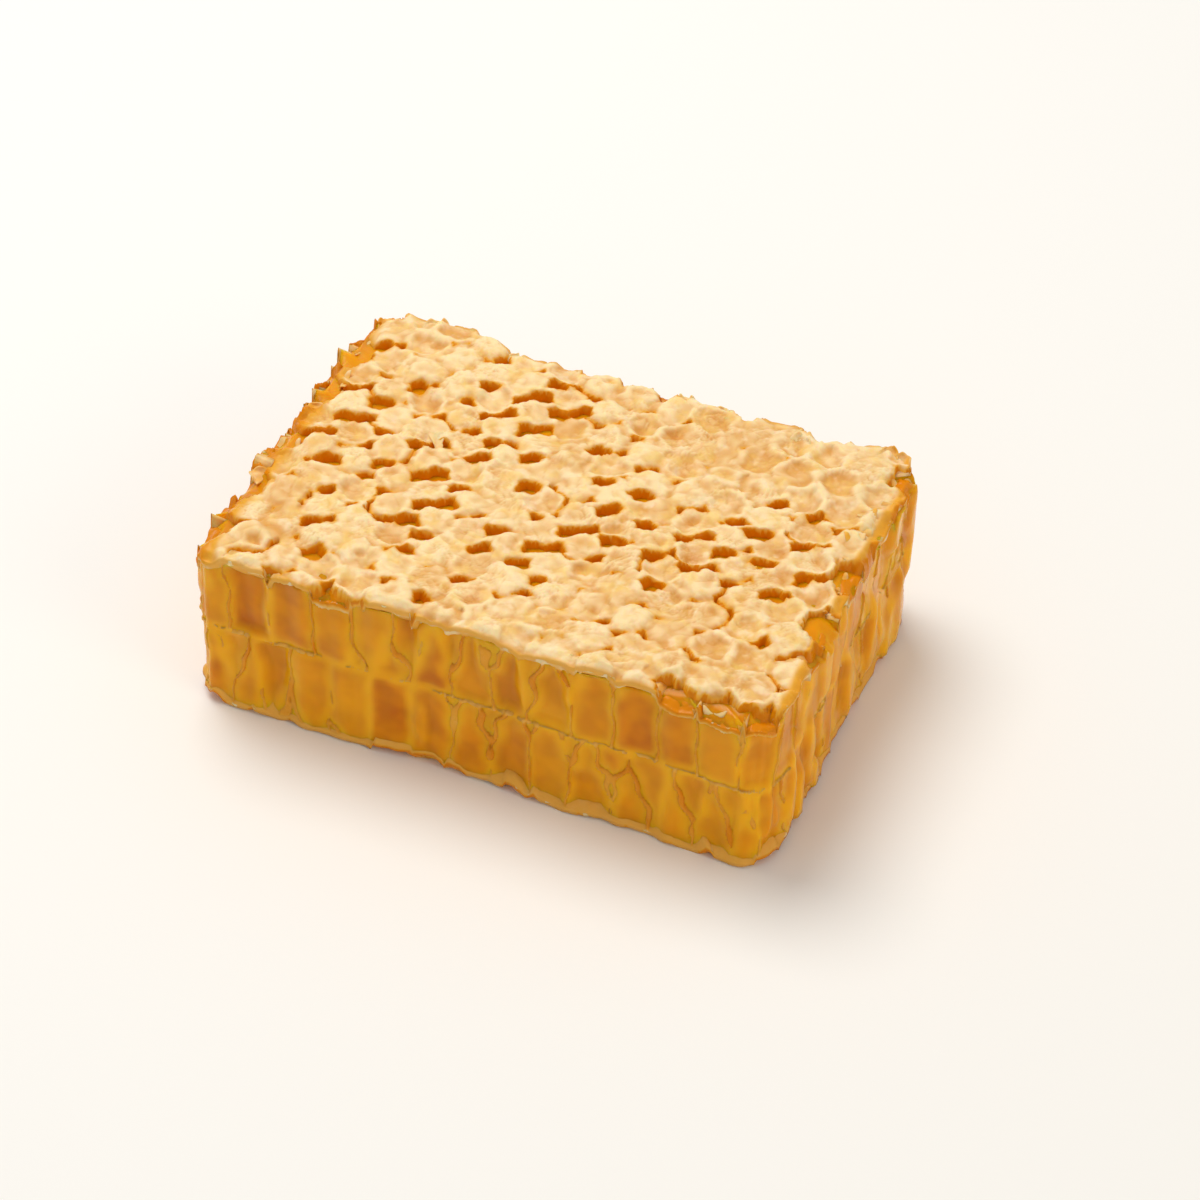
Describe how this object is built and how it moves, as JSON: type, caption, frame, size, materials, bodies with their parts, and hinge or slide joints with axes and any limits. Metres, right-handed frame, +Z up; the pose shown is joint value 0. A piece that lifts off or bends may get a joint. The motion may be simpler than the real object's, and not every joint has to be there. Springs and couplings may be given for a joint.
{
  "type": "honeycomb piece",
  "caption": "Cut slab of sealed honeycomb: domed wax cappings over honey-filled cells that the knife has opened on all four sides, lying flat.",
  "frame": {"origin": "middle of the slab's underside, on the surface it lies on", "axes": "+X along the slab's length, +Y across it, +Z up through its thickness, with the domed cappings on top"},
  "size_m": [0.0902, 0.0632, 0.029],
  "materials": {
    "beeswax": "pale cream beeswax, dull, with a slight wet sheen in its folds",
    "honey": "wet amber honey behind thin wax, glossy"
  },
  "bodies": {
    "root": {"cappings_top": "beeswax", "honey_cells": "honey", "cappings_base": "beeswax"}
  },
  "joints": []
}
